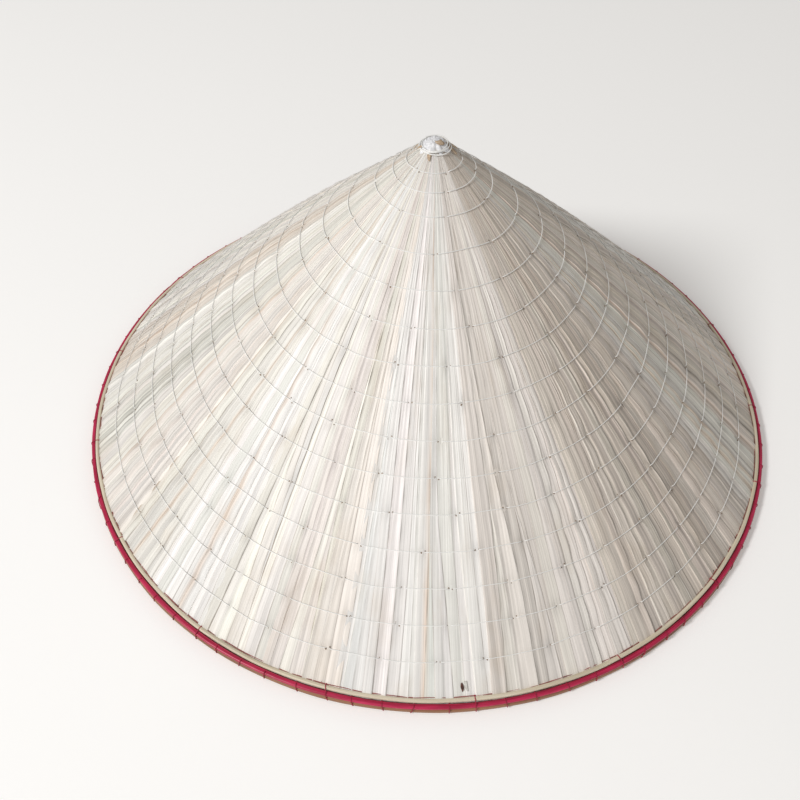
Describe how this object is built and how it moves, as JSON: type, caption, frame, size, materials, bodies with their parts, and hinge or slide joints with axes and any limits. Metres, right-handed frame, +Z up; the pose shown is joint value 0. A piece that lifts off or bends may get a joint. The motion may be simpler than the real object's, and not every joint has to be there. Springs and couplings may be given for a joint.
{
  "type": "conical hat",
  "caption": "Wide conical sun hat of dried palm leaves stitched in rings over thin bamboo hoops, with a bound red and cream rim and open underside",
  "frame": {"origin": "centre of the flat ring on the underside of the rim hoop, which the hat stands on", "axes": "+Z up through the apex, +X to the right and -Y towards the viewer of the picture; the strap loops are at +X and -X"},
  "size_m": [0.41, 0.41, 0.1922],
  "materials": {
    "outer_leaf": "satin",
    "inner_leaf": "satin",
    "hoop_bamboo": "satin",
    "rim_bamboo": "satin",
    "splint_bamboo": "satin",
    "red_band": "glossy",
    "white_thread": "satin",
    "red_thread": "matte",
    "leaf_tip": "matte",
    "strap_loop": "matte"
  },
  "bodies": {
    "root": {"outer_leaves": "outer_leaf", "inner_leaves": "inner_leaf", "hoop_01": "hoop_bamboo", "hoop_02": "hoop_bamboo", "hoop_03": "hoop_bamboo", "hoop_04": "hoop_bamboo", "hoop_05": "hoop_bamboo", "hoop_06": "hoop_bamboo", "hoop_07": "hoop_bamboo", "hoop_08": "hoop_bamboo", "hoop_09": "hoop_bamboo", "hoop_10": "hoop_bamboo", "hoop_11": "hoop_bamboo", "hoop_12": "hoop_bamboo", "hoop_13": "hoop_bamboo", "hoop_14": "hoop_bamboo", "hoop_15": "hoop_bamboo", "stitch_row_01": "white_thread", "stitch_row_02": "white_thread", "stitch_row_03": "white_thread", "stitch_row_04": "white_thread", "stitch_row_05": "white_thread", "stitch_row_06": "white_thread", "stitch_row_07": "white_thread", "stitch_row_08": "white_thread", "stitch_row_09": "white_thread", "stitch_row_10": "white_thread", "stitch_row_11": "white_thread", "stitch_row_12": "white_thread", "stitch_row_13": "white_thread", "stitch_row_14": "white_thread", "stitch_row_15": "white_thread", "rim_hoop": "rim_bamboo", "rim_red_band": "red_band", "rim_outer_splint": "splint_bamboo", "rim_inner_splint": "splint_bamboo", "rim_edge_thread": "red_thread", "rim_lashing": "red_thread", "apex_thread_wrap": "white_thread", "apex_leaf_tips": "leaf_tip", "strap_loops": "strap_loop"}
  },
  "joints": []
}
